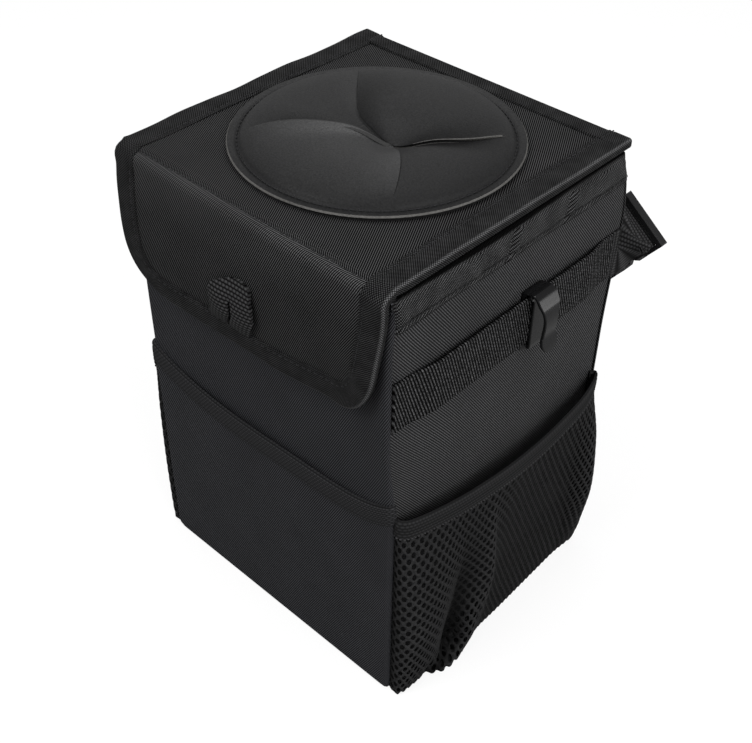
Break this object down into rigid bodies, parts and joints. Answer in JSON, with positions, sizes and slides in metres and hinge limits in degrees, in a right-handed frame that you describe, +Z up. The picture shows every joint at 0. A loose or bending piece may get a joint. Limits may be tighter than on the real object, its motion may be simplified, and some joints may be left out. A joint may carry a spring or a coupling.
{
  "type": "car trash bin",
  "caption": "Padded cloth car bin with a hinged lid, petal opening, front flap, mesh side pockets, bag clips and a hanging strap.",
  "frame": {"origin": "middle of the underside, on the floor", "axes": "+X across the front to the right, +Y to the back, +Z up; the front flap faces -Y"},
  "size_m": [0.1921, 0.1921, 0.2623],
  "materials": {
    "oxford_cloth": "woven twill, dull",
    "stiffener": "matt",
    "lining": "coated cloth",
    "binding": "ribbed tape",
    "mesh": "open knit",
    "webbing": "coarse woven",
    "plastic": "smooth moulded",
    "neoprene": "matt foam rubber",
    "touch_fastener": "hook and loop pile"
  },
  "bodies": {
    "bin": {"front_panel": "oxford_cloth", "back_panel": "oxford_cloth", "left_panel": "oxford_cloth", "right_panel": "oxford_cloth", "base_panel": "oxford_cloth", "front_board": "stiffener", "back_board": "stiffener", "left_board": "stiffener", "right_board": "stiffener", "base_board": "stiffener", "liner": "lining", "rim_tape": "binding", "lid_hinge_tape": "binding", "loop_patch": "touch_fastener", "front_pocket": "oxford_cloth", "front_pocket_hem": "binding", "right_mesh_pocket": "mesh", "left_mesh_pocket": "mesh", "right_pocket_hem": "binding", "left_pocket_hem": "binding", "right_webbing": "webbing", "left_webbing": "webbing", "short_strap": "webbing", "buckle_socket": "plastic", "long_strap": "webbing"},
    "lid": {"lid_skin": "oxford_cloth", "lid_board": "stiffener", "lid_lining": "lining", "lid_tape_right": "binding", "lid_tape_left": "binding", "petal_disc": "neoprene"},
    "flap": {"flap_skin": "oxford_cloth", "flap_lining": "lining", "flap_tape": "binding", "hook_patch": "touch_fastener", "pull_tab": "webbing"},
    "right_clip": {"right_clip": "plastic"},
    "left_clip": {"left_clip": "plastic"},
    "plug": {"buckle_plug": "plastic"}
  },
  "joints": [
    {"name": "lid_hinge", "type": "hinge", "parent": "bin", "child": "lid", "pos_m": [0, 0.0775, 0.24545], "axis": [-1, 0, 0], "range_deg": [0, 180]},
    {"name": "flap_fold", "type": "hinge", "parent": "lid", "child": "flap", "pos_m": [0, -0.0777, 0.2493], "axis": [-1, 0, 0], "range_deg": [0, 110]},
    {"name": "right_clip_slide", "type": "slide", "parent": "bin", "child": "right_clip", "axis": [0, 1, 0], "range_m": [-0.055, 0.03]},
    {"name": "left_clip_slide", "type": "slide", "parent": "bin", "child": "left_clip", "axis": [0, 1, 0], "range_m": [-0.055, 0.03]},
    {"name": "buckle_release", "type": "slide", "parent": "bin", "child": "plug", "axis": [-0.6129, 0, -0.7902], "range_m": [0, 0.025]}
  ]
}
